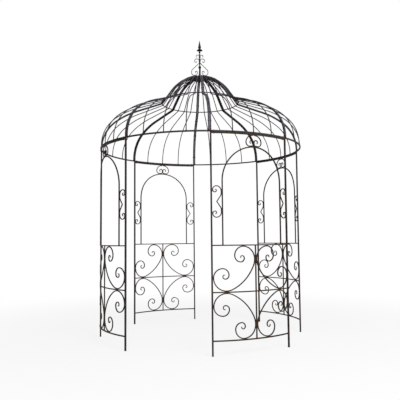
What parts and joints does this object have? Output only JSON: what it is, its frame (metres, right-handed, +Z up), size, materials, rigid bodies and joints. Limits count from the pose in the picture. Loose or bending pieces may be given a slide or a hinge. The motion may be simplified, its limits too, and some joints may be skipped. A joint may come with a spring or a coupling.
{
  "type": "garden gazebo",
  "caption": "Round open garden gazebo of aged iron bar, with curved scrollwork panels between open doorways and a bell-shaped rib roof with a spear finial.",
  "frame": {"origin": "middle of the post circle at ground level, under the finial's tip", "axes": "+Z up along the finial; the four open doorways face +X, -X, +Y and -Y, and the four lattice panels stand on the diagonals"},
  "size_m": [2.215, 2.215, 3.3049],
  "materials": {
    "frame_iron": "old dark brown paint worn to rust-brown iron, matt",
    "scroll_iron": "weathered olive-brown iron with rust at the welds, matt",
    "roof_iron": "near-black iron with a brown bloom, matt"
  },
  "bodies": {
    "root": {"front_right_left_post": "frame_iron", "front_right_right_post": "frame_iron", "front_right_rails": "frame_iron", "front_right_scrolls": "scroll_iron", "front_right_arch": "frame_iron", "front_right_ornaments": "scroll_iron", "back_right_left_post": "frame_iron", "back_right_right_post": "frame_iron", "back_right_rails": "frame_iron", "back_right_scrolls": "scroll_iron", "back_right_arch": "frame_iron", "back_right_ornaments": "scroll_iron", "back_left_left_post": "frame_iron", "back_left_right_post": "frame_iron", "back_left_rails": "frame_iron", "back_left_scrolls": "scroll_iron", "back_left_arch": "frame_iron", "back_left_ornaments": "scroll_iron", "front_left_left_post": "frame_iron", "front_left_right_post": "frame_iron", "front_left_rails": "frame_iron", "front_left_scrolls": "scroll_iron", "front_left_arch": "frame_iron", "front_left_ornaments": "scroll_iron", "rib_right_back": "roof_iron", "rib_back_right": "roof_iron", "rib_back_left": "roof_iron", "rib_left_back": "roof_iron", "rib_left_front": "roof_iron", "rib_front_left": "roof_iron", "rib_front_right": "roof_iron", "rib_right_front": "roof_iron", "rods_right": "roof_iron", "rods_back_right": "roof_iron", "rods_back": "roof_iron", "rods_back_left": "roof_iron", "rods_left": "roof_iron", "rods_front_left": "roof_iron", "rods_front": "roof_iron", "rods_front_right": "roof_iron", "roof_ring": "roof_iron", "neck_ring": "roof_iron", "hub": "roof_iron", "finial": "roof_iron", "finial_scrolls": "roof_iron"}
  },
  "joints": []
}
